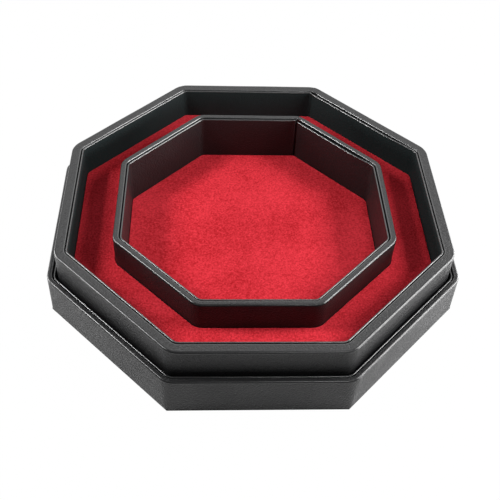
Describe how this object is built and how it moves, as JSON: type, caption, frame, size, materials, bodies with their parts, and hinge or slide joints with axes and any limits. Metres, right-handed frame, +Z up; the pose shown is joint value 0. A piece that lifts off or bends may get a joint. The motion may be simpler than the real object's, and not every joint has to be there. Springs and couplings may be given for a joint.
{
  "type": "lidded dice tray",
  "caption": "Octagonal leatherette dice tray with a velvet rolling well inside a raised staging shelf, standing in its own upturned lid.",
  "frame": {"origin": "centre of the underside, on the surface that the upturned lid stands on", "axes": "+Z up, out of the open tray; the flat side nearest the camera faces -Y, and the wraps' seams are at the corner between the back and back-right sides"},
  "size_m": [0.2728, 0.2728, 0.051],
  "materials": {
    "leatherette": "satin",
    "velvet": "matte",
    "fibreboard": "matte",
    "greyboard": "matte",
    "foam": "matte"
  },
  "bodies": {
    "lid": {"lid_top_sheet": "leatherette", "lid_wrap": "leatherette", "lid_board": "greyboard", "lid_wall_front": "fibreboard", "lid_wall_front_right": "fibreboard", "lid_wall_right": "fibreboard", "lid_wall_back_right": "fibreboard", "lid_wall_back": "fibreboard", "lid_wall_back_left": "fibreboard", "lid_wall_left": "fibreboard", "lid_wall_front_left": "fibreboard", "lid_liner_card": "greyboard", "lid_liner_skin": "leatherette", "lid_lining": "velvet"},
    "tray": {"tray_underside_sheet": "leatherette", "tray_wrap": "leatherette", "tray_board": "fibreboard", "tray_wall_front": "fibreboard", "tray_wall_front_right": "fibreboard", "tray_wall_right": "fibreboard", "tray_wall_back_right": "fibreboard", "tray_wall_back": "fibreboard", "tray_wall_back_left": "fibreboard", "tray_wall_left": "fibreboard", "tray_wall_front_left": "fibreboard", "tray_liner_card": "greyboard", "tray_liner_skin": "leatherette", "staging_riser": "foam", "staging_card": "greyboard", "staging_velvet": "velvet", "ring_wrap": "leatherette", "ring_wall_front": "fibreboard", "ring_wall_front_right": "fibreboard", "ring_wall_right": "fibreboard", "ring_wall_back_right": "fibreboard", "ring_wall_back": "fibreboard", "ring_wall_back_left": "fibreboard", "ring_wall_left": "fibreboard", "ring_wall_front_left": "fibreboard", "ring_liner_card": "greyboard", "ring_liner_skin": "leatherette", "well_pad": "foam", "well_card": "greyboard", "well_velvet": "velvet"}
  },
  "joints": [
    {"name": "tray_lift", "type": "slide", "parent": "lid", "child": "tray", "axis": [0, 0, 1], "range_m": [0, 0.06]}
  ]
}
